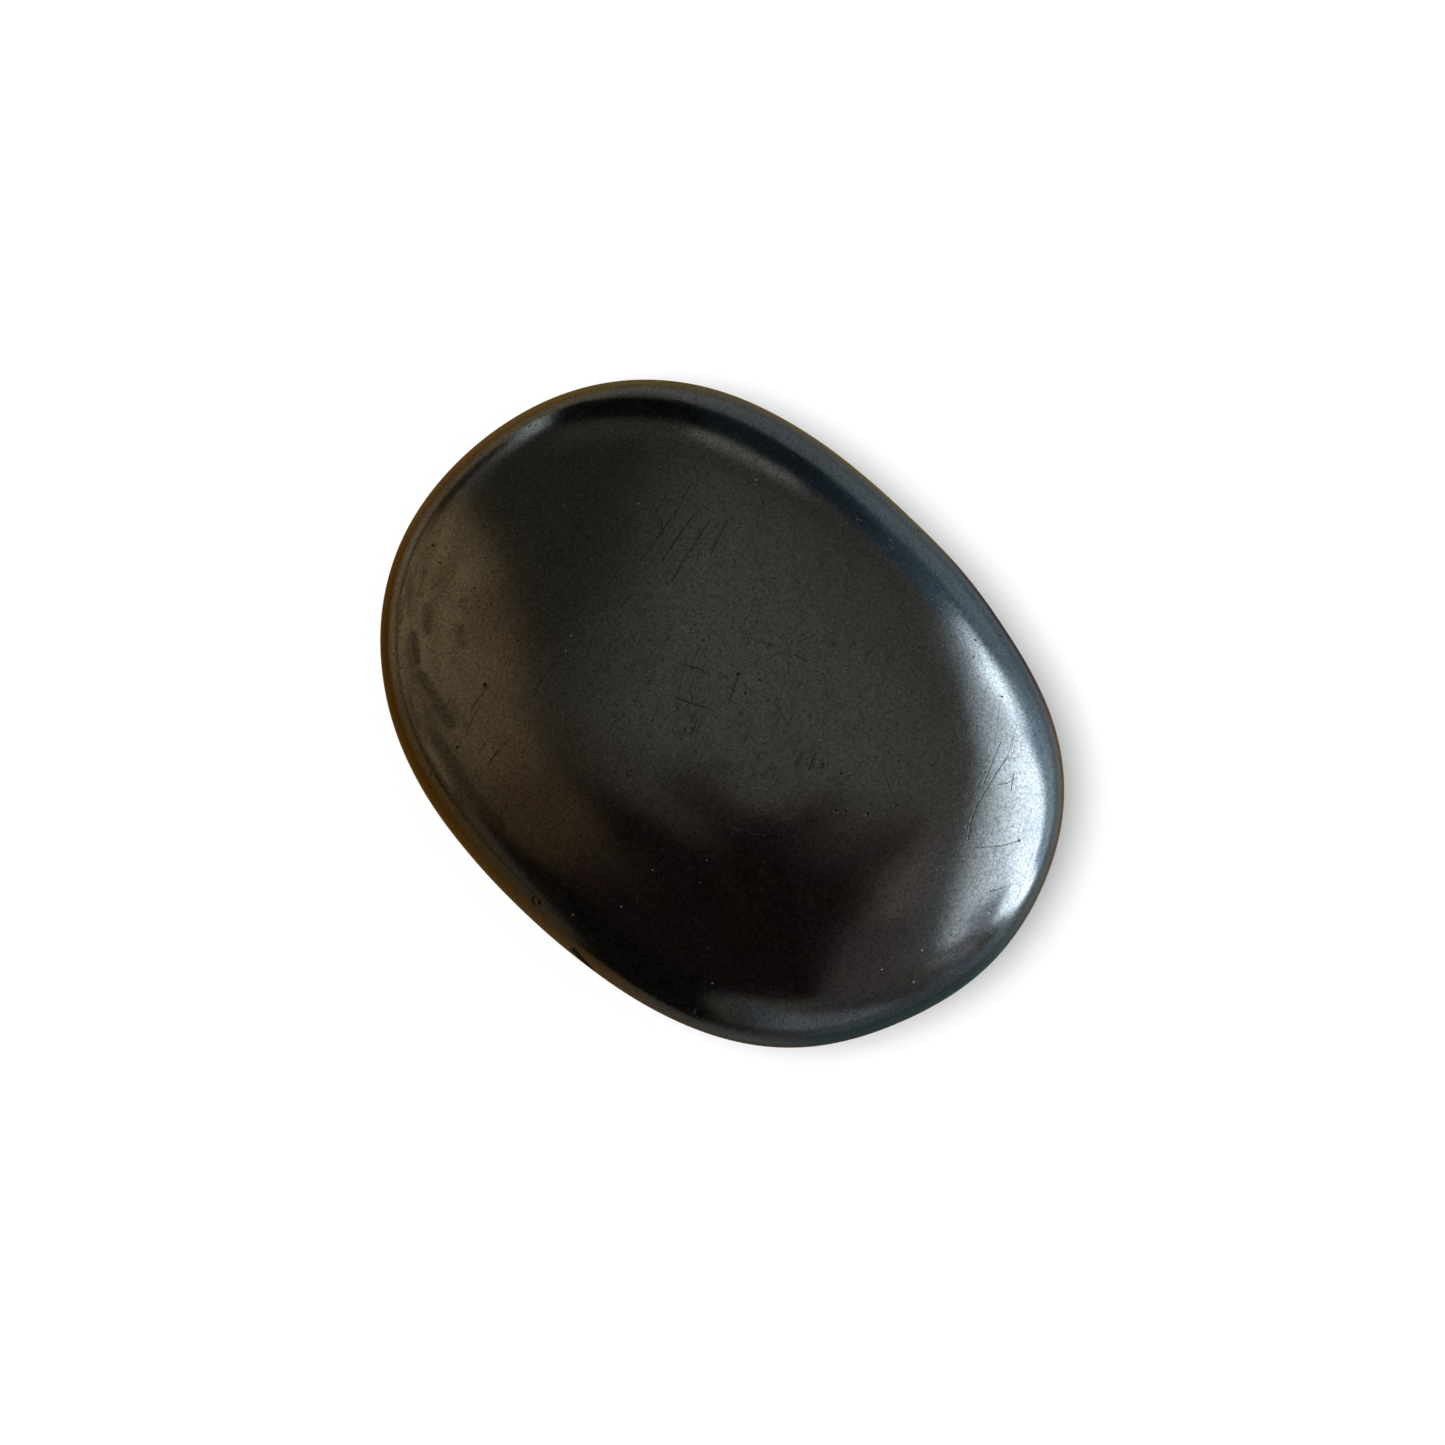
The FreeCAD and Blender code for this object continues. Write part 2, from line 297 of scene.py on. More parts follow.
def carve(points, marks):
    """Depth of the marks at the points, and how dark, pale and dusty each point is: dark is
    painted shade in the marks' hollows, and the wax smudges; pale is a fresh scratch made lighter,
    partly as a painted glint.
    """
    depth = np.zeros(len(points))
    look = np.zeros((len(points), 3))
    for mark in marks:
        low = np.minimum(mark.start, mark.end) - 2 * mark.half
        high = np.maximum(mark.start, mark.end) + 2 * mark.half
        near = np.nonzero(np.all((points > low) & (points < high), 1))[0]
        if not len(near):
            continue
        close = points[near]
        away = offset_from(mark, close)
        away = away - (away @ mark.normal)[:, None] * mark.normal
        r = np.linalg.norm(away, axis=1) / mark.half
        hollow = np.clip(1 - r * r, 0, 1) ** 2
        if mark.kind in ("dark", "pale"):        # a scratch skips and fades along its length
            skip = (np.sin(close @ np.array([5.1, 3.3, 2.0]))
                    * np.sin(close @ np.array([-2.7, 6.4, 1.0]) + 1.3))
            hollow = hollow * np.clip(0.80 + 0.60 * skip, 0.25, 1)
        if mark.kind == "ring":                  # a groove round a slightly raised middle
            hollow = np.exp(-((r - 0.8) / 0.22) ** 2) - 0.3 * np.exp(-(r / 0.45) ** 2)
            depth[near] = mark.depth * hollow
        else:
            depth[near] = np.maximum(depth[near], mark.depth * hollow)

        # channel 0 paints shade: dark scratches, pits, chips, the ring's groove and the notch are
        # darkened; it also holds the wax smudges. Channel 1 makes pale scratches lighter, partly
        # as painted glints; channel 2 is dust.
        channel = {"pale": 1, "speck": 2}.get(mark.kind, 0)
        if mark.kind == "ring":
            cover = 0.5 * np.clip(hollow, 0, 1)
        elif mark.kind == "smudge":
            cover = mark.strength * np.clip(1.4 - 1.4 * r * r, 0, 1)
        elif mark.kind == "speck":
            cover = np.clip(1.4 - r * 1.4, 0, 1)
        else:
            cover = mark.strength * np.clip(1.25 - r * 1.25, 0, 1)
        look[near, channel] = np.maximum(look[near, channel], cover)
    return depth, look


# ---------------------------------------------------------------- the stone's mesh
def quad_sphere(marks):
    """Unit sphere of six square grids, merged, with finer faces along the marks."""
    bm = bmesh.new()
    bmesh.ops.create_cube(bm, size=2.0)
    bmesh.ops.subdivide_edges(bm, edges=bm.edges[:], cuts=SPHERE_CUTS - 1, use_grid_fill=True)
    for vert in bm.verts:
        spread = np.tan(np.array(vert.co) * math.pi / 4)     # evens the spacing out
        vert.co = Vector(spread / np.linalg.norm(spread))
    # Two rounds of splitting: within reach (mm) of every mark, then close to all but smudges.
    for reach, last in ((0.60, False), (0.12, True)):
        bm.faces.ensure_lookup_table()
        middles = shape_stone(unit(np.array([f.calc_center_median() for f in bm.faces])))
        close = np.zeros(len(middles), bool)
        for mark in marks:
            if mark.kind == "smudge" and last:
                continue
            distance = np.linalg.norm(offset_from(mark, middles), axis=1)
            close |= distance < mark.half + reach
        edges = {edge for i in np.nonzero(close)[0] for edge in bm.faces[i].edges}
        bmesh.ops.subdivide_edges(bm, edges=list(edges), cuts=2, use_grid_fill=True)
    bmesh.ops.triangulate(bm, faces=[f for f in bm.faces if len(f.verts) > 4])
    for vert in bm.verts:
        vert.co.normalize()
    return bm


def build_stone():
    marks = laid_marks()
    bm = quad_sphere(marks)
    mesh = bpy.data.meshes.new("massage_stone")
    bm.to_mesh(mesh)
    bm.free()
    sphere = np.zeros(len(mesh.vertices) * 3)
    mesh.vertices.foreach_get("co", sphere)
    sphere = unit(sphere.reshape(-1, 3))

    def unmarked(sphere):
        points = shape_stone(sphere)
        # the waviness fades out towards the resting flat
        lift = undulate(points) * np.clip((points[:, 2] - 0.3) / 2.0, 0, 1)
        return points + normals(shape_stone, sphere, NORMAL_STEP) * lift[:, None]

    points = unmarked(sphere)
    lo, hi = points.min(0), points.max(0)
    box_lo, box_hi = np.array(BOX_LO) / MM, np.array(BOX_HI) / MM

    def finished(sphere):
        """The marked surface, stretched to fill the CAD stone's own box."""
        points = unmarked(sphere)
        depth, _ = carve(points, marks)
        hit = np.nonzero(depth)[0]
        points[hit] -= normals(unmarked, sphere[hit], NORMAL_STEP) * depth[hit][:, None]
        return box_lo + (points - lo) * (box_hi - box_lo) / (hi - lo)

    _, look = carve(points, marks)
    mesh.vertices.foreach_set("co", (finished(sphere) * MM).ravel())
    mesh.polygons.foreach_set("use_smooth", [True] * len(mesh.polygons))
    mesh.update()
    mesh.normals_split_custom_set_from_vertices(
        normals(finished, sphere, FINE_NORMAL_STEP).tolist())
    wear_and_shade = mesh.attributes.new("wear_and_shade", "FLOAT_COLOR", "POINT")
    wear_and_shade.data.foreach_set("color", np.column_stack([look, np.ones(len(look))]).ravel())
    stone = bpy.data.objects.new("massage_stone", mesh)
    bpy.context.scene.collection.objects.link(stone)
    return stone


# ---------------------------------------------------------------- shader node helpers
class Wire:
    """An output socket; plain arithmetic on it makes Math nodes."""

    def __init__(self, net, socket):
        self.net = net
        self.socket = socket

    def __add__(self, other): return self.net.calc("ADD", self, other)
    def __radd__(self, other): return self.net.calc("ADD", other, self)
    def __sub__(self, other): return self.net.calc("SUBTRACT", self, other)
    def __rsub__(self, other): return self.net.calc("SUBTRACT", other, self)
    def __mul__(self, other): return self.net.calc("MULTIPLY", self, other)


class Net:
    """Builds shader nodes from short calls. Wires, sockets and plain values are all inputs."""

    def __init__(self, tree):
        self.tree = tree
        tree.nodes.clear()

    def node(self, kind, inputs={}, **settings):
        node = self.tree.nodes.new("ShaderNode" + kind)
        for key, value in settings.items():
            setattr(node, key, value)
        for key, value in inputs.items():
            if isinstance(value, Wire):
                value = value.socket
            if isinstance(value, bpy.types.NodeSocket):
                self.tree.links.new(value, node.inputs[key])
            else:
                node.inputs[key].default_value = value
        return node

    def wire(self, kind, inputs={}, output=0, **settings):
        return Wire(self, self.node(kind, inputs, **settings).outputs[output])

    def calc(self, operation, *values):
        return self.wire("Math", dict(enumerate(values)), operation=operation)

    def most(self, a, b): return self.calc("MAXIMUM", a, b)
    def least(self, a, b): return self.calc("MINIMUM", a, b)

    def vec(self, operation, *vectors, scale=None):
        inputs = dict(enumerate(vectors))
        if scale is not None:
            inputs["Scale"] = scale
        output = "Value" if operation in ("LENGTH", "DOT_PRODUCT") else "Vector"
        return self.wire("VectorMath", inputs, output, operation=operation)

    def split(self, vector):
        return [Wire(self, part) for part in self.node("SeparateXYZ", {0: vector}).outputs]

    def step(self, value, over, to=(0.0, 1.0)):
        """Eases between the ends of to while value crosses over, from its first end."""
        return self.wire("MapRange", dict(enumerate((value, *over, *to))),
                         interpolation_type="SMOOTHSTEP")

    def mix(self, amount, base, colour):
        base, colour = ((*value, 1.0) if isinstance(value, tuple) else value
                        for value in (base, colour))
        return self.wire("Mix", {0: amount, 6: base, 7: colour}, 2, data_type="RGBA")

    def noise(self, place, scale, detail=2.0, rough=0.5, distortion=0.0):
        return self.wire("TexNoise", {"Vector": place, "Scale": scale, "Detail": detail,
                                      "Roughness": rough, "Distortion": distortion}, "Fac")

    def cells(self, place, scale):
        return self.node("TexVoronoi", {"Vector": place, "Scale": scale}, feature="F1")

    def local(self, place, x, y, turn, scale_x=1.0, scale_y=1.0):
        """place in axes centred on (x, y), turned by turn degrees."""
        return self.wire("Mapping", {
            "Vector": place, "Location": (x, y, 0), "Rotation": (0, 0, math.radians(turn)),
            "Scale": (scale_x, scale_y, 1)}, vector_type="TEXTURE")


def new_material(name):
    material = bpy.data.materials.new(name)
    material.use_nodes = True
    return material


# ---------------------------------------------------------------- polished basalt
POLISH_LEAN = 108.0            # degrees from +X along which most polish marks run
LEAN_VECTOR = (math.cos(math.radians(POLISH_LEAN)), math.sin(math.radians(POLISH_LEAN)), 0.0)
GROUNDMASS_DARK, GROUNDMASS_PALE = (0.012, 0.0118, 0.0112), (0.044, 0.0425, 0.0395)
CLOUD_COLOUR = (0.038, 0.034, 0.028)
CRYSTAL_COLOUR = (0.11, 0.105, 0.095)
WORN_COLOUR = (0.09, 0.088, 0.082)
PORE_COLOUR = (0.006, 0.006, 0.006)
# painted shade for the dark scratches, pits and chips, and the colour of the wax smudges
SHADE_AND_SMUDGE_COLOUR = (0.005, 0.005, 0.005)
# pale scratches made lighter: partly fresh scratch, partly a painted glint
SCUFF_AND_GLINT_COLOUR = (0.34, 0.34, 0.33)
DUST_COLOUR = (0.85, 0.85, 0.84)
MOTE_COLOUR = (0.50, 0.49, 0.47)


class StoneNet(Net):
    """Nodes of the stone's skin: place is the point in mm, grain and patch are noises."""

    def __init__(self, tree):
        super().__init__(tree)
        coords = self.wire("TexCoord", output="Object")
        self.place = self.vec("SCALE", coords, scale=1 / MM)
        self.normal = self.wire("NewGeometry", output="Normal")
        self.grain = self.noise(self.place, scale=3.0, detail=3.0, rough=0.7)
        self.patch = self.noise(self.place, scale=0.45, detail=3.0, rough=0.6)
        self.crowd = self.step(self.patch, over=(0.44, 0.60))

    def scratches(self, cell, width, length, keep, seed, lean=None):
        """Short straight scratches, one to a cell (mm), in a share keep of the cells."""
        moved = self.vec("ADD", self.place, (seed * 13.1, seed * 7.7, seed * 3.3))
        cells = self.cells(moved, 1.0 / cell)
        away = self.vec("SUBTRACT", moved, cells.outputs["Position"])
        spin = self.vec("SUBTRACT", cells.outputs["Color"], (0.5, 0.5, 0.5))
        if lean:                                 # most of them run one way
            spin = self.vec("ADD", self.vec("SCALE", spin, scale=0.45), lean)
        across = self.vec("NORMALIZE", self.vec("CROSS_PRODUCT", self.normal, spin))
        off = self.calc("ABSOLUTE", self.vec("DOT_PRODUCT", away, across))
        far = self.vec("LENGTH", away)
        chosen = self.split(cells.outputs["Color"])[0]
        mask = (self.step(off, over=(width, width * 0.15))
                * self.step(far, over=(length, length * 0.55)))
        return mask * self.calc("LESS_THAN", chosen, keep)

    def scatter(self, offset, spacing):
        """Distance to the nearest of many scattered points, and its three random values."""
        cells = self.cells(self.vec("ADD", self.place, offset), 1.0 / spacing)
        away = self.vec("SUBTRACT", self.vec("ADD", self.place, offset),
                        cells.outputs["Position"])
        return self.vec("LENGTH", away), self.split(cells.outputs["Color"])

    def pores(self):
        """Open pores, thicker in places."""
        gap, random = self.scatter(offset=(3.1, 9.7, 5.3), spacing=0.75)
        pore = self.step(gap, over=(random[2] * 0.10 + 0.07 if False else 0.07 + random[2] * 0.10,
                                    0.03))
        return pore * (0.35 + self.crowd * 0.65)

    def flecks(self, busy):
        """Short dark dashes, bent every way."""
        fleck = self.scratches(cell=0.85, width=0.085, length=0.30, keep=0.75, seed=6)
        small = self.scratches(cell=0.55, width=0.070, length=0.17, keep=0.8, seed=7)
        fleck = self.most(fleck, small * 0.8)
        gaps = self.noise(self.place, scale=2.2, detail=1.0)
        return fleck * self.step(gaps, over=(0.36, 0.56)) * busy

    def polish_marks(self, busy):
        """Hairlines mostly one way, crossed by random ones, with streaks and fine crazing."""
        long = self.scratches(cell=7.0, width=0.060, length=4.4, keep=0.50, seed=1,
                              lean=LEAN_VECTOR)
        mid = self.scratches(cell=3.0, width=0.055, length=1.6, keep=0.6, seed=2)
        mid_leaning = self.scratches(cell=2.2, width=0.050, length=1.1, keep=0.6, seed=3,
                                     lean=LEAN_VECTOR)
        fine = self.scratches(cell=1.3, width=0.045, length=0.60, keep=0.55, seed=4)
        finest = self.scratches(cell=0.9, width=0.040, length=0.40, keep=0.45, seed=5)
        drawn_out = self.local(self.place, 0, 0, POLISH_LEAN, scale_x=14.0)
        streak = self.step(self.noise(drawn_out, scale=5.0, detail=1.0), over=(0.56, 0.70))
        some = self.step(self.noise(self.place, scale=0.32), over=(0.44, 0.60))
        streak = streak * (some * busy)
        veins = self.noise(self.place, scale=1.1, detail=3.0, rough=0.62, distortion=0.3)
        ridge = self.calc("ABSOLUTE", veins - 0.5)
        crazing = (self.step(ridge, over=(0.016, 0.003))
                   * (self.crowd * self.step(self.grain, over=(0.42, 0.56))))
        worn = self.most(self.most(long, mid),
                         self.most(mid_leaning, self.most(fine, finest) * 0.7))
        return self.most(worn, self.most(crazing * 0.8, streak * 0.9))


def basalt():
    material = new_material("polished_basalt")
    net = StoneNet(material.node_tree)
    place, grain, patch = net.place, net.grain, net.patch
    laid = net.node("Attribute", attribute_type="GEOMETRY", attribute_name="wear_and_shade")
    shade_and_smudge, scuff_and_glint, dust = net.split(laid.outputs["Color"])
    broken = net.noise(place, scale=3.6, rough=0.6)
    shade_and_smudge = shade_and_smudge * net.step(broken, over=(0.30, 0.50), to=(0.45, 1.0))
    scuff_and_glint = scuff_and_glint * net.step(broken, over=(0.42, 0.60), to=(0.0, 0.8))

    # near-black groundmass, mottled by a fine mix of dark and paler mineral grains
    speckle = net.noise(place, scale=5.5, detail=1.0)
    tone = net.split(net.cells(place, scale=2.6).outputs["Color"])[1]
    cloud = net.noise(place, scale=0.11, detail=3.0, rough=0.55, distortion=0.4)
    shade = grain * 0.9 + (tone * 0.35 + patch * 0.35)
    base = net.mix(net.step(shade, over=(0.45, 1.15)), GROUNDMASS_DARK, GROUNDMASS_PALE)
    base = net.mix(net.step(cloud, over=(0.45, 0.75)) * 0.35, base, CLOUD_COLOUR)
    base = net.mix(net.step(tone, over=(0.975, 0.995)) * 0.30, base, CRYSTAL_COLOUR)

    # wear is densest on the much handled middle of the top
    from_middle = net.vec("SUBTRACT", place, (-1.0, 4.0, 18.5))
    reach = net.vec("LENGTH", net.vec("MULTIPLY", from_middle, (0.045, 0.058, 0.08)))
    busy = (net.step(reach, over=(1.30, 0.50), to=(0.55, 1.0))
            * net.step(patch, over=(0.38, 0.60), to=(0.40, 1.0)))
    pore = net.pores()
    fleck = net.flecks(busy)
    worn = net.polish_marks(busy)
    base = net.mix(worn * 0.22, base, WORN_COLOUR)
    base = net.mix(net.most(pore, fleck * 0.7), base, PORE_COLOUR)
    # painted shade: the dark scratches, pits, chips and notch are darkened, and the wax smudges
    # too
    base = net.mix(shade_and_smudge * 0.9, base, SHADE_AND_SMUDGE_COLOUR)
    # pale scratches painted lighter: fresh scratches, partly painted glints
    base = net.mix(scuff_and_glint * 0.8, base, SCUFF_AND_GLINT_COLOUR)
    base = net.mix(dust, base, DUST_COLOUR)

    # loose bright dust, sparse
    apart, random = net.scatter(offset=(17.0, 2.0, 11.0), spacing=1.1)
    mote = net.step(apart, over=(0.075, 0.03)) * net.calc("LESS_THAN", random[0], 0.25)
    base = net.mix(mote * 0.7, base, MOTE_COLOUR)

    # roughness: a polished level, varied by the noises and raised by wear and dust
    rough = 0.130 + (cloud - 0.5) * 0.06
    rough = rough + (grain - 0.5) * 0.04
    rough = rough + (patch - 0.5) * 0.05
    rough = rough + worn * 0.11
    rough = rough + (net.most(pore, fleck) * 0.12 + (shade_and_smudge + scuff_and_glint) * 0.25)
    rough = net.least(net.most(rough + net.most(dust, mote) * 0.5, 0.07), 0.8)

    # how strongly the polish shines: grains differ, pores hardly shine, and the dark scratches,
    # pits and chips are dimmed as painted shade, the smudges as dull wax
    shine = 0.33 + net.step(grain, over=(0.34, 0.64)) * 0.24
    shine = shine + net.step(speckle, over=(0.34, 0.66)) * 0.22
    for mask, loss in ((fleck, 0.75), (worn, 0.55), (pore, 0.85), (shade_and_smudge, 0.85)):
        shine = shine * (1.0 - mask * loss)

    # relief, in mm: grain, broader swell, pores sunk in
    height = grain * 0.0030
    height = height + net.noise(place, scale=0.8) * 0.0040
    height = height - pore * 0.010
    bump = net.wire("Bump", {"Strength": 1.0, "Distance": MM, "Height": height})

    surface = net.wire("BsdfPrincipled", {
        "Base Color": base, "Roughness": rough, "IOR": 1.55, "Specular IOR Level": shine,
        "Normal": bump})
    net.node("OutputMaterial", {"Surface": surface})
    return material


# ---------------------------------------------------------------- studio: soft cards all round
# Cards lie on a flat chart of directions, in degrees: the zenith is at the middle, x is the
# view's right, y its top (the back), and the horizon is the circle of radius 90.
# Each card: (x, y, turn, half width, half height, edge softness[, softness along its height]),
# its colour, and how much it covers.
OVERHEAD_CARDS = [
    ((-25, 34, -15, 22, 32, 7, 9), (0.15, 0.135, 0.09), 0.92),       # shade on the left
    ((16, 41, -8, 22, 4, 3), (0.28, 0.27, 0.22), 0.6),
    ((-12, 51, -4, 14, 5, 5.0), (0.38, 0.37, 0.32), 0.75)]
# Dark patches on the warm card: x, y, half width, half height.
WALL_PATCHES = ((-66, 1, 5, 4), (-75, -14, 4, 3), (-59, -14, 6, 4), (-51, -10, 5, 3),
                (-52, 10, 5, 3), (-70, 20, 4, 5), (-44, -8, 4, 3))
LEFT_CARDS = [
    ((-31, -24, 40, 20, 6, 4.0), (0.40, 0.23, 0.09), 0.85),
    ((-73.4, -49.5, 32, 13, 15, 5.0), (0.42, 0.29, 0.12), 1.0),
    ((-67, -29, -50, 8, 4.0, 3.0), (1.30, 0.95, 0.50), 0.7),
    ((-40, -57.5, 0, 16.5, 20, 4.0), (0.03, 0.008, 0.001), 1.0)]
BACK_FLAG = [                                    # black, fading to deep blue on the right
    ((34, 61, -17, 30, 11.8, 4.0), (0.030, 0.075, 0.105), 1.0),
    ((58, 57, -30, 12, 11, 6.0), (0.28, 0.48, 0.62), 0.75),
    ((42, 50, -34, 11, 7, 4.0), (0.05, 0.12, 0.19), 1.0)]
BACK_LEFT_CARDS = [
    ((-11.3, 70.3, -6, 23.2, 11.8, 2.0), (0.001, 0.001, 0.001), 1.0),   # black flag
    ((-52, 76, 30, 12, 5, 3.0), (1.00, 0.95, 0.74), 0.85)]
POST_AND_FRONT_CARDS = [
    ((-40.5, 70, 22, 4.0, 10, 3.5), (2.50, 2.85, 2.90), 1.0),        # small cool card
    ((-56, 55.5, -40, 4.5, 14.5, 2.5), (0.14, 0.10, 0.05), 1.0),     # brown post
    ((17, 49.5, -12, 12, 3.2, 2.2), (1.25, 1.23, 1.13), 1.0),        # pale, before the flag
    ((-17.5, -6, 0, 6.0, 5.5, 2.5), (0.25, 0.18, 0.11), 0.8),
    ((10.5, -26, -3, 3.5, 15, 3.0), (0.30, 0.13, 0.13), 1.0)]
FRONT_FLAGS = [                                  # laid in one mottled dark colour
    (-3, -38, 0, 15, 19, 4.0), (-20, -41, -50, 16, 24, 3.5),
    (-0.5, -17.6, 0, 8.0, 15.2, 4.5, 1.2), (-4, -23, -3, 15.5, 13, 3.0, 3.0)]
FRONT_CARDS = [
    ((-42, -70, -28, 15, 26, 3.0), (0.001, 0.0005, 0.0005), 1.0),    # black, front left
    ((15.5, -10.5, 0, 7.5, 4.2, 3.5), (0.19, 0.12, 0.13), 0.9),      # dusky strips
    ((21.8, -19.5, -21, 4.2, 9.5, 3.2), (0.92, 0.70, 0.66), 0.9),
    ((20, -43, 8, 5.5, 16, 4.0), (0.50, 0.38, 0.40), 0.85),
    ((33, -30, 0, 7, 20, 6.0), (0.70, 0.80, 0.84), 0.7),             # cooler, by the softbox
    ((58, -70, -10, 14, 9, 5.0), (0.68, 0.82, 1.00), 0.85),          # pale, low in front
    ((27, -68, -17, 18, 5.5, 4.0), (0.31, 0.29, 0.35), 0.9)]
LOW_FRONT_CARD = (8, -81, -16, 27, 12, 4.5)      # brightens to the right
TABLE_CARDS = [((-43.5, -80.5, -36, 17.5, 13.5, 3.0), (0.004, 0.002, 0.001), 1.0)]
SOFTBOX_PATCHES = [                              # uneven glow within the softbox
    ((73, 18, -12, 8, 4.0, 3.5), (4.0, 5.6, 7.2), 0.7),
    ((80, 11, -40, 8, 4.0, 3.0), (4.0, 5.4, 6.8), 0.7),
    ((43, 29, -20, 6, 9, 4), (1.1, 1.4, 1.6), 0.6),
    ((52, 19, 0, 8, 7, 5), (3.4, 4.0, 4.3), 0.5),
    ((48.5, 2, -10, 3, 5, 3), (12.0, 14.0, 15.5), 0.45),
    ((61, 32, -24, 4.0, 6, 3.5), (15.5, 19.0, 21.0), 0.9),
    ((74, -15, 4, 14, 3, 3.5), (4.0, 5.5, 7.0), 0.25),
    ((52, -25, 0, 7, 4, 4), (3.0, 3.5, 4.0), 0.25),
    ((53.5, -41.5, 8, 9.5, 11, 5.0), (2.2, 2.5, 2.9), 1.0)]
BELOW_SOFTBOX = [((47, -53, -8, 10, 4, 4.0), (1.8, 1.9, 2.1), 0.7)]
# Colours round the compass in three bands below the horizon: degrees from the view's right
# towards the back, colour. Cool on the window side, warm brown on the other.
NEAR_BAND = [
    (-180, (1.10, 0.80, 0.40)), (-165, (0.66, 0.42, 0.15)), (-150, (0.62, 0.34, 0.08)),
    (-132, (0.32, 0.24, 0.13)), (-105, (0.10, 0.10, 0.08)), (-88, (0.32, 0.32, 0.34)),
    (-72, (0.40, 0.52, 0.60)), (-58, (0.38, 0.46, 0.55)), (-42, (0.70, 0.90, 1.10)),
    (-28, (1.50, 1.95, 2.10)), (-12, (1.90, 2.60, 3.00)), (5, (1.60, 2.35, 2.85)),
    (30, (1.00, 1.40, 1.70)), (60, (0.66, 0.82, 0.90)), (88, (0.76, 0.80, 0.74)),
    (105, (0.80, 0.72, 0.50)), (120, (0.92, 0.76, 0.44)), (140, (0.84, 0.64, 0.34)),
    (155, (1.12, 0.95, 0.62)), (168, (1.20, 0.80, 0.36)), (180, (1.10, 0.80, 0.40))]
LOW_BAND = [
    (-180, (0.42, 0.14, 0.003)), (-150, (0.40, 0.16, 0.003)), (-128, (0.38, 0.20, 0.06)),
    (-112, (0.28, 0.26, 0.20)), (-100, (0.34, 0.37, 0.35)), (-75, (0.15, 0.24, 0.26)),
    (-55, (0.18, 0.27, 0.30)), (-20, (0.66, 0.78, 0.80)), (0, (0.84, 0.90, 0.92)),
    (35, (0.50, 0.66, 0.80)), (62, (0.52, 0.52, 0.46)), (90, (0.60, 0.45, 0.17)),
    (115, (0.70, 0.41, 0.10)), (145, (0.62, 0.29, 0.06)), (165, (0.50, 0.20, 0.01)),
    (180, (0.42, 0.14, 0.003))]
DEEP_BAND = [
    (-180, (0.40, 0.18, 0.01)), (-140, (0.40, 0.20, 0.02)), (-100, (0.22, 0.17, 0.12)),
    (-70, (0.10, 0.18, 0.17)), (-45, (0.12, 0.34, 0.32)), (-15, (0.62, 0.36, 0.18)),
    (10, (0.55, 0.28, 0.08)), (32, (0.20, 0.09, 0.12)), (50, (0.70, 0.50, 0.16)),
    (90, (0.50, 0.34, 0.10)), (180, (0.40, 0.18, 0.01))]


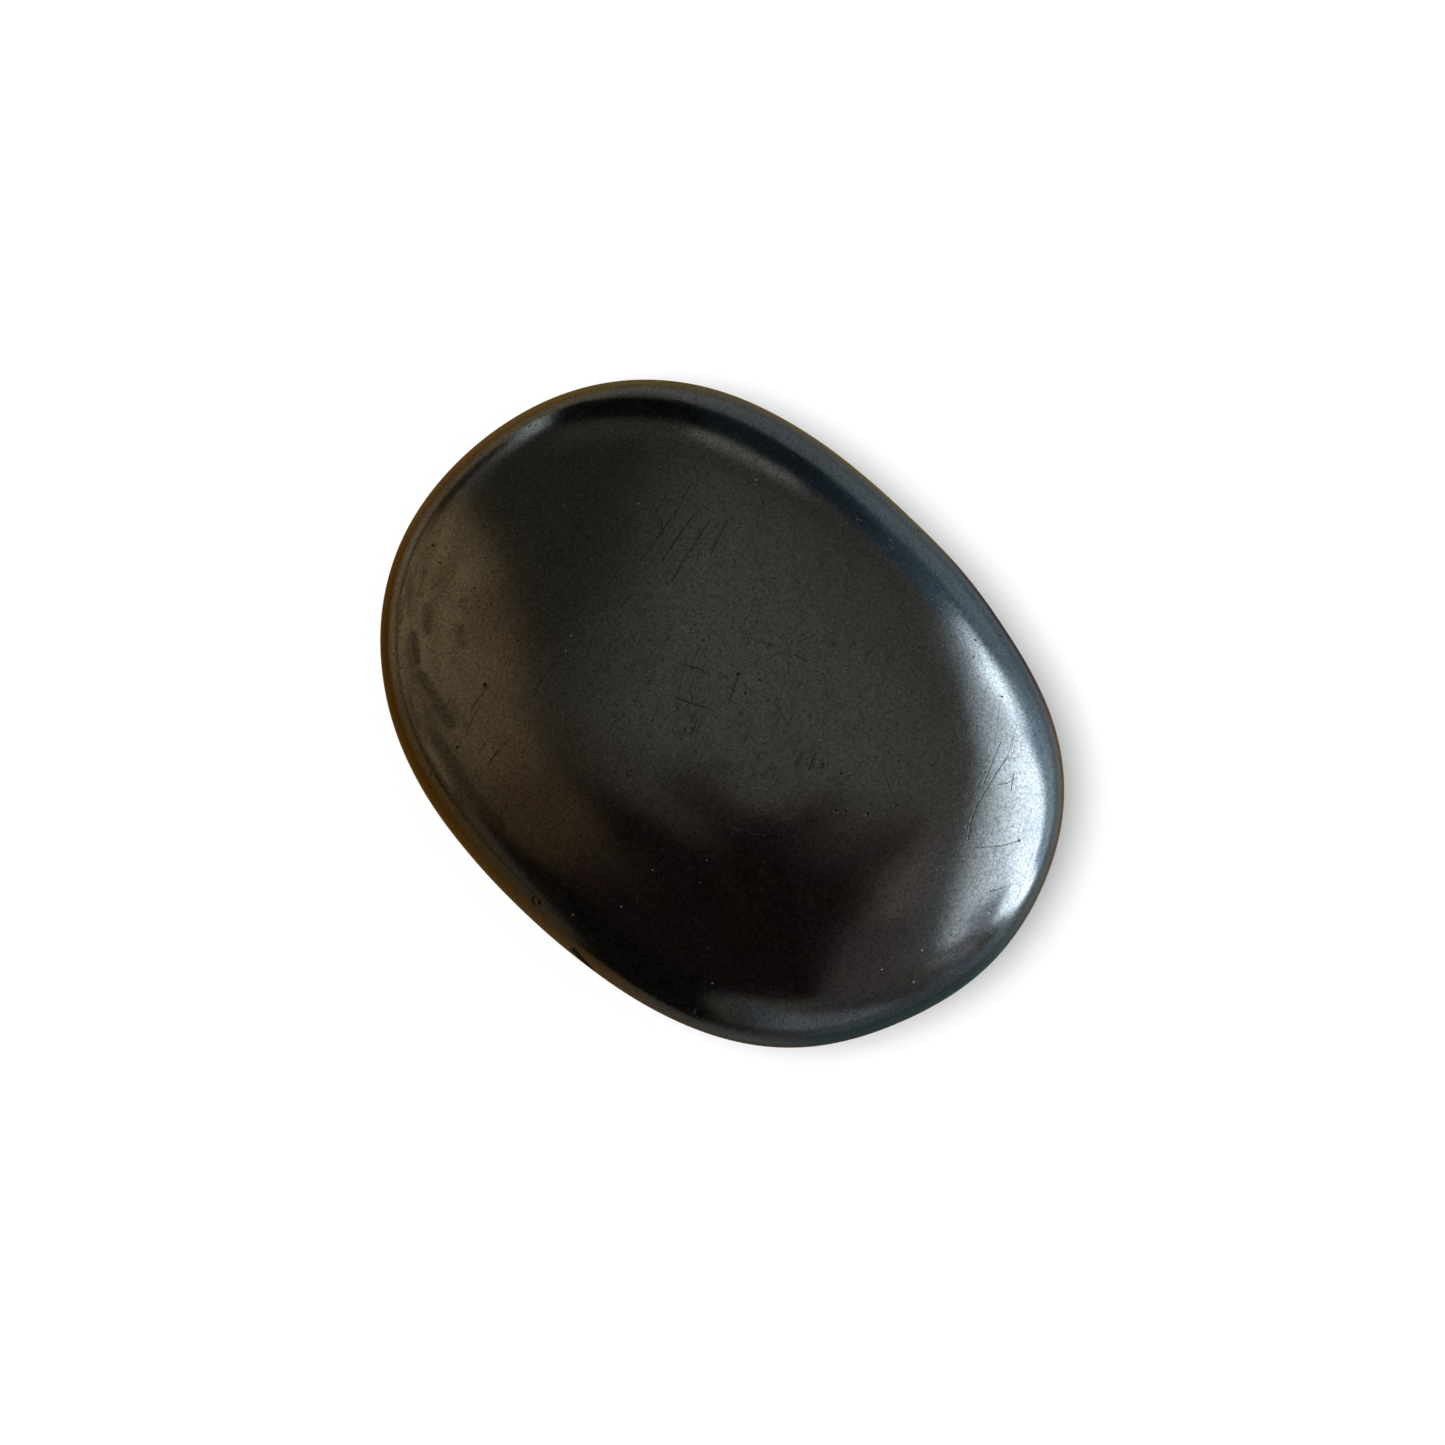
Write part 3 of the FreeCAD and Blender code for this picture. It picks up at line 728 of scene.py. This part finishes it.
class StudioNet(Net):
    """Nodes of the world: chart is the direction's place, zenith its angle from straight up."""

    def __init__(self, tree):
        super().__init__(tree)
        ray = self.wire("TexCoord", output="Generated")
        turned = self.wire("VectorRotate", {"Vector": ray, "Angle": -TURN},
                           rotation_type="Z_AXIS")
        x, y, z = self.split(turned)
        angle = self.calc("ARCCOSINE", self.least(self.most(z, -1.0), 1.0))
        self.zenith = angle * (180 / math.pi)
        flat = self.most(self.calc("SQRT", x * x + y * y), 1e-4)
        stretch = self.calc("DIVIDE", self.zenith, flat)
        self.chart = self.wire("CombineXYZ", {0: x * stretch, 1: y * stretch, 2: 0.0})
        self.x, self.y, _ = self.split(self.chart)
        self.azimuth = self.calc("ARCTAN2", y, x) * (0.5 / math.pi) + 0.5

    def card(self, x, y, turn, half_width, half_height, soft, soft_y=None):
        """Soft-edged rectangle, 1 inside and 0 outside."""
        soft_y = soft if soft_y is None else soft_y
        across, up, _ = self.split(self.local(self.chart, x, y, turn))
        masks = [self.step(self.calc("ABSOLUTE", off), over=(half + edge, half - edge))
                 for off, half, edge in ((across, half_width, soft), (up, half_height, soft_y))]
        return masks[0] * masks[1]

    def blob(self, x, y, turn, half_width, half_height, soft=0.5):
        """Soft-edged ellipse."""
        local = self.local(self.chart, x, y, turn, half_width, half_height)
        return self.step(self.vec("LENGTH", local), over=(1 + soft, 1 - soft))

    def lay_cards(self, light, cards):
        for card, colour, amount in cards:
            mask = self.card(*card)
            light = self.mix(mask * amount if amount != 1.0 else mask, light, colour)
        return light

    def band(self, stops):
        """Colour ramp round the compass."""
        node = self.node("ValToRGB", {0: self.azimuth})
        node.color_ramp.interpolation = "EASE"
        elements = node.color_ramp.elements
        while len(elements) < len(stops):
            elements.new(0.5)
        for element, (degrees, colour) in zip(elements, stops):
            element.position = degrees / 360 + 0.5
            element.color = (*colour, 1.0)
        return node.outputs[0]

    def overhead(self):
        """Mid grey, paler at the zenith."""
        light = self.mix(self.step(self.zenith, over=(6, 48)),
                         (0.74, 0.70, 0.57), (0.46, 0.45, 0.38))
        return self.lay_cards(light, OVERHEAD_CARDS)

    def warm_card(self, light):
        """Big warm card on the left with a mottled face, darker towards its foot."""
        wall = (self.blob(-59, 5, turn=13, half_width=36, half_height=50, soft=0.13)
                * self.step(self.x + self.y, over=(-1, -14)))
        spots = self.step(self.noise(self.chart, scale=0.085, rough=0.6), over=(0.36, 0.62))
        face = self.mix(spots, (0.98, 0.66, 0.33), (1.62, 1.20, 0.62))
        face = self.mix(self.step(self.x, over=(-44, -18)), face, (0.66, 0.42, 0.20))
        face = self.mix(self.step(self.y, over=(6, -38), to=(0, 0.9)), face, (0.36, 0.21, 0.09))
        face = self.mix(self.step(self.y, over=(30, 44), to=(0, 0.6)), face, (0.62, 0.36, 0.15))
        light = self.mix(wall, light, face)
        for x, y, half_width, half_height in WALL_PATCHES:
            patch = self.blob(x, y, 20, half_width, half_height)
            light = self.mix(patch * 0.6, light, (0.40, 0.28, 0.15))
        return self.lay_cards(light, LEFT_CARDS)

    def back_cards(self, light):
        light = self.lay_cards(light, BACK_FLAG)
        corner = (self.step(self.x - self.y, over=(-6, 4))
                  * self.step(self.x + self.y, over=(74, 88)))
        light = self.mix(corner * 0.95, light, (0.40, 0.68, 0.92))
        light = self.lay_cards(light, BACK_LEFT_CARDS)
        pale = self.blob(-43, 59, turn=0, half_width=7, half_height=5)
        return self.mix(pale * 0.6, light, (0.95, 0.98, 0.88))

    def front_cards(self, light):
        light = self.lay_cards(light, POST_AND_FRONT_CARDS)
        mottle = self.step(self.noise(self.chart, scale=0.09), over=(0.38, 0.62))
        dark = self.mix(mottle, (0.036, 0.014, 0.003), (0.050, 0.004, 0.026))
        light = self.lay_cards(light, [(flag, dark, 1.0) for flag in FRONT_FLAGS])
        light = self.lay_cards(light, FRONT_CARDS)
        low = self.mix(self.step(self.x, over=(-22, 6)), (0.17, 0.18, 0.17), (0.86, 1.00, 1.12))
        return self.lay_cards(light, [(LOW_FRONT_CARD, low, 1.0)])

    def table(self, light):
        """Everything below the table's edge, with a dark seam on the left."""
        zenith = self.zenith
        # on the left the edge stands a little higher
        down = zenith + self.step(self.x, over=(-46, -68)) * 4.0
        back_left = self.step(self.x, over=(-38, -48)) * self.step(self.y, over=(56, 68))
        down = down + back_left * 3.0
        ground = self.mix(self.step(down, over=(97, 112)),
                          self.band(NEAR_BAND), self.band(LOW_BAND))
        ground = self.mix(self.step(zenith, over=(128, 146)), ground, self.band(DEEP_BAND))
        ground = self.mix(self.step(zenith, over=(123, 137), to=(0.0, 0.38)), ground,
                          (0.06, 0.035, 0.02))
        ground = self.mix(self.step(zenith, over=(152, 172)), ground, (0.12, 0.065, 0.03))
        # and at the back right too
        back_right = self.step(self.x, over=(0, 14)) * self.step(self.y, over=(20, 50))
        rim = 89.0 + back_right * -9.0
        light = self.mix(self.step(down - rim, over=(-2.5, 2.5)), light, ground)
        seam = (self.step(self.calc("ABSOLUTE", down - 88.2), over=(2.6, 0.6))
                * self.step(self.x, over=(-50, -64)))
        light = self.mix(seam * 0.95, light, (0.04, 0.025, 0.01))
        return self.lay_cards(light, TABLE_CARDS)

    def softbox(self, light):
        """Big softbox on the right, dimmer towards its near side, with a cool fringe."""
        x, y = self.x, self.y
        slant = x + y * 0.45
        top = self.step(y - self.least(x - 60, 0.0) * 0.7, over=(43, 35.5))
        notch = self.step(x, over=(70, 78), to=(0.0, 2.5)) * self.step(x, over=(90, 82))
        tall = top * self.step(y + notch, over=(-50, -41))
        inner = self.step(x + self.calc("ABSOLUTE", y + 20) * -0.13, over=(30, 40))
        fringe = (self.step(slant, over=(104, 92)) * self.step(slant, over=(58, 74))
                  * (tall * self.step(self.zenith, over=(111, 101))))
        light = self.mix(fringe * 0.75, light, (2.2, 3.2, 4.0))
        reach = self.zenith - self.step(y, over=(-28, -40), to=(0.0, 13.0))
        box = (self.step(slant, over=(90, 73)) * self.step(reach, over=(92, 84))
               * (tall * inner))
        glow = self.mix(self.step(y, over=(-22, 22)), (4.1, 4.6, 4.9), (1.3, 1.6, 1.75))
        glow = self.mix(self.step(x, over=(34, 66)), glow, (14.5, 17.0, 19.0))
        light = self.mix(box, light, self.lay_cards(glow, SOFTBOX_PATCHES))
        return self.lay_cards(light, BELOW_SOFTBOX)


def studio_world():
    """The cards show only in reflections; the camera and diffuse light see plain greys."""
    world = bpy.data.worlds.new("studio")
    bpy.context.scene.world = world
    world.use_nodes = True
    world.cycles.sampling_method = "NONE"
    net = StudioNet(world.node_tree)
    light = net.overhead()
    for lay in (net.warm_card, net.back_cards, net.front_cards, net.table, net.softbox):
        light = lay(light)
    ray = net.node("LightPath").outputs
    colour = net.mix(ray["Is Diffuse Ray"], light, (0.08, 0.08, 0.08))
    colour = net.mix(ray["Is Camera Ray"], colour, (1.0, 1.0, 1.0))
    background = net.wire("Background", {"Color": colour})
    net.node("OutputWorld", {"Surface": background})


# ---------------------------------------------------------------- floor, lamps, camera
FLOOR_SIZE = 3.0               # metres
FLOOR_GAP = 0.00002            # metres between the stone's foot and the floor
# name, strength, tilt from straight up, heading from the view's right, apparent size (degrees)
LAMPS = (("key", math.pi * 0.69, 16.0, 172.0, 28.0),
         ("fill", math.pi * 0.385, 0.0, 0.0, 4.0))


def pale_floor():
    material = new_material("pale_floor")
    net = Net(material.node_tree)
    surface = net.wire("BsdfDiffuse", {"Color": (0.9, 0.9, 0.9, 1.0)})
    net.node("OutputMaterial", {"Surface": surface})
    return material


def build_floor(stage):
    bm = bmesh.new()
    bmesh.ops.create_grid(bm, x_segments=8, y_segments=8, size=FLOOR_SIZE)
    mesh = bpy.data.meshes.new("floor")
    bm.to_mesh(mesh)
    bm.free()
    floor = bpy.data.objects.new("floor", mesh)
    stage.objects.link(floor)
    floor.location.z = CAD_LO.z - FLOOR_GAP
    floor.visible_glossy = False
    floor.visible_diffuse = False
    mesh.materials.append(pale_floor())


def add_lamp(stage, name, energy, tilt, heading, size):
    """A sun that lights only the floor."""
    data = bpy.data.lights.new(name, "SUN")
    data.energy = energy
    data.angle = math.radians(size)
    data.use_shadow = True
    lamp = bpy.data.objects.new(name, data)
    bpy.context.scene.collection.objects.link(lamp)
    around = TURN + math.radians(heading)
    tilt = math.radians(tilt)
    source = Vector((math.sin(tilt) * math.cos(around), math.sin(tilt) * math.sin(around),
                     math.cos(tilt)))
    lamp.rotation_mode = "QUATERNION"
    lamp.rotation_quaternion = source.to_track_quat("Z", "Y")
    lamp.light_linking.receiver_collection = stage


def add_camera():
    """Looks straight down, turned so that its right is TURN from +X."""
    data = bpy.data.cameras.new("camera")
    data.sensor_width = 36.0
    data.lens = data.sensor_width * EYE_HEIGHT / FRAME_WIDTH
    data.clip_start, data.clip_end = 0.01, 20.0
    camera = bpy.data.objects.new("camera", data)
    bpy.context.scene.collection.objects.link(camera)
    right, up = FRAME_CENTRE
    x = right * math.cos(TURN) - up * math.sin(TURN)
    y = right * math.sin(TURN) + up * math.cos(TURN)
    middle = (CAD_LO + CAD_HI) / 2
    camera.location = (middle.x + x * MM, middle.y + y * MM, (WAIST + EYE_HEIGHT) * MM)
    camera.rotation_euler = (0, 0, TURN)
    bpy.context.scene.camera = camera


scene = bpy.context.scene
scene.view_settings.view_transform = "Standard"
scene.view_settings.look = "None"
stone = build_stone()
stone.data.materials.append(basalt())
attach(stone, "root")
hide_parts(NODE)
studio_world()
stage = bpy.data.collections.new("stage")
scene.collection.children.link(stage)
build_floor(stage)
for lamp in LAMPS:
    add_lamp(stage, *lamp)
add_camera()
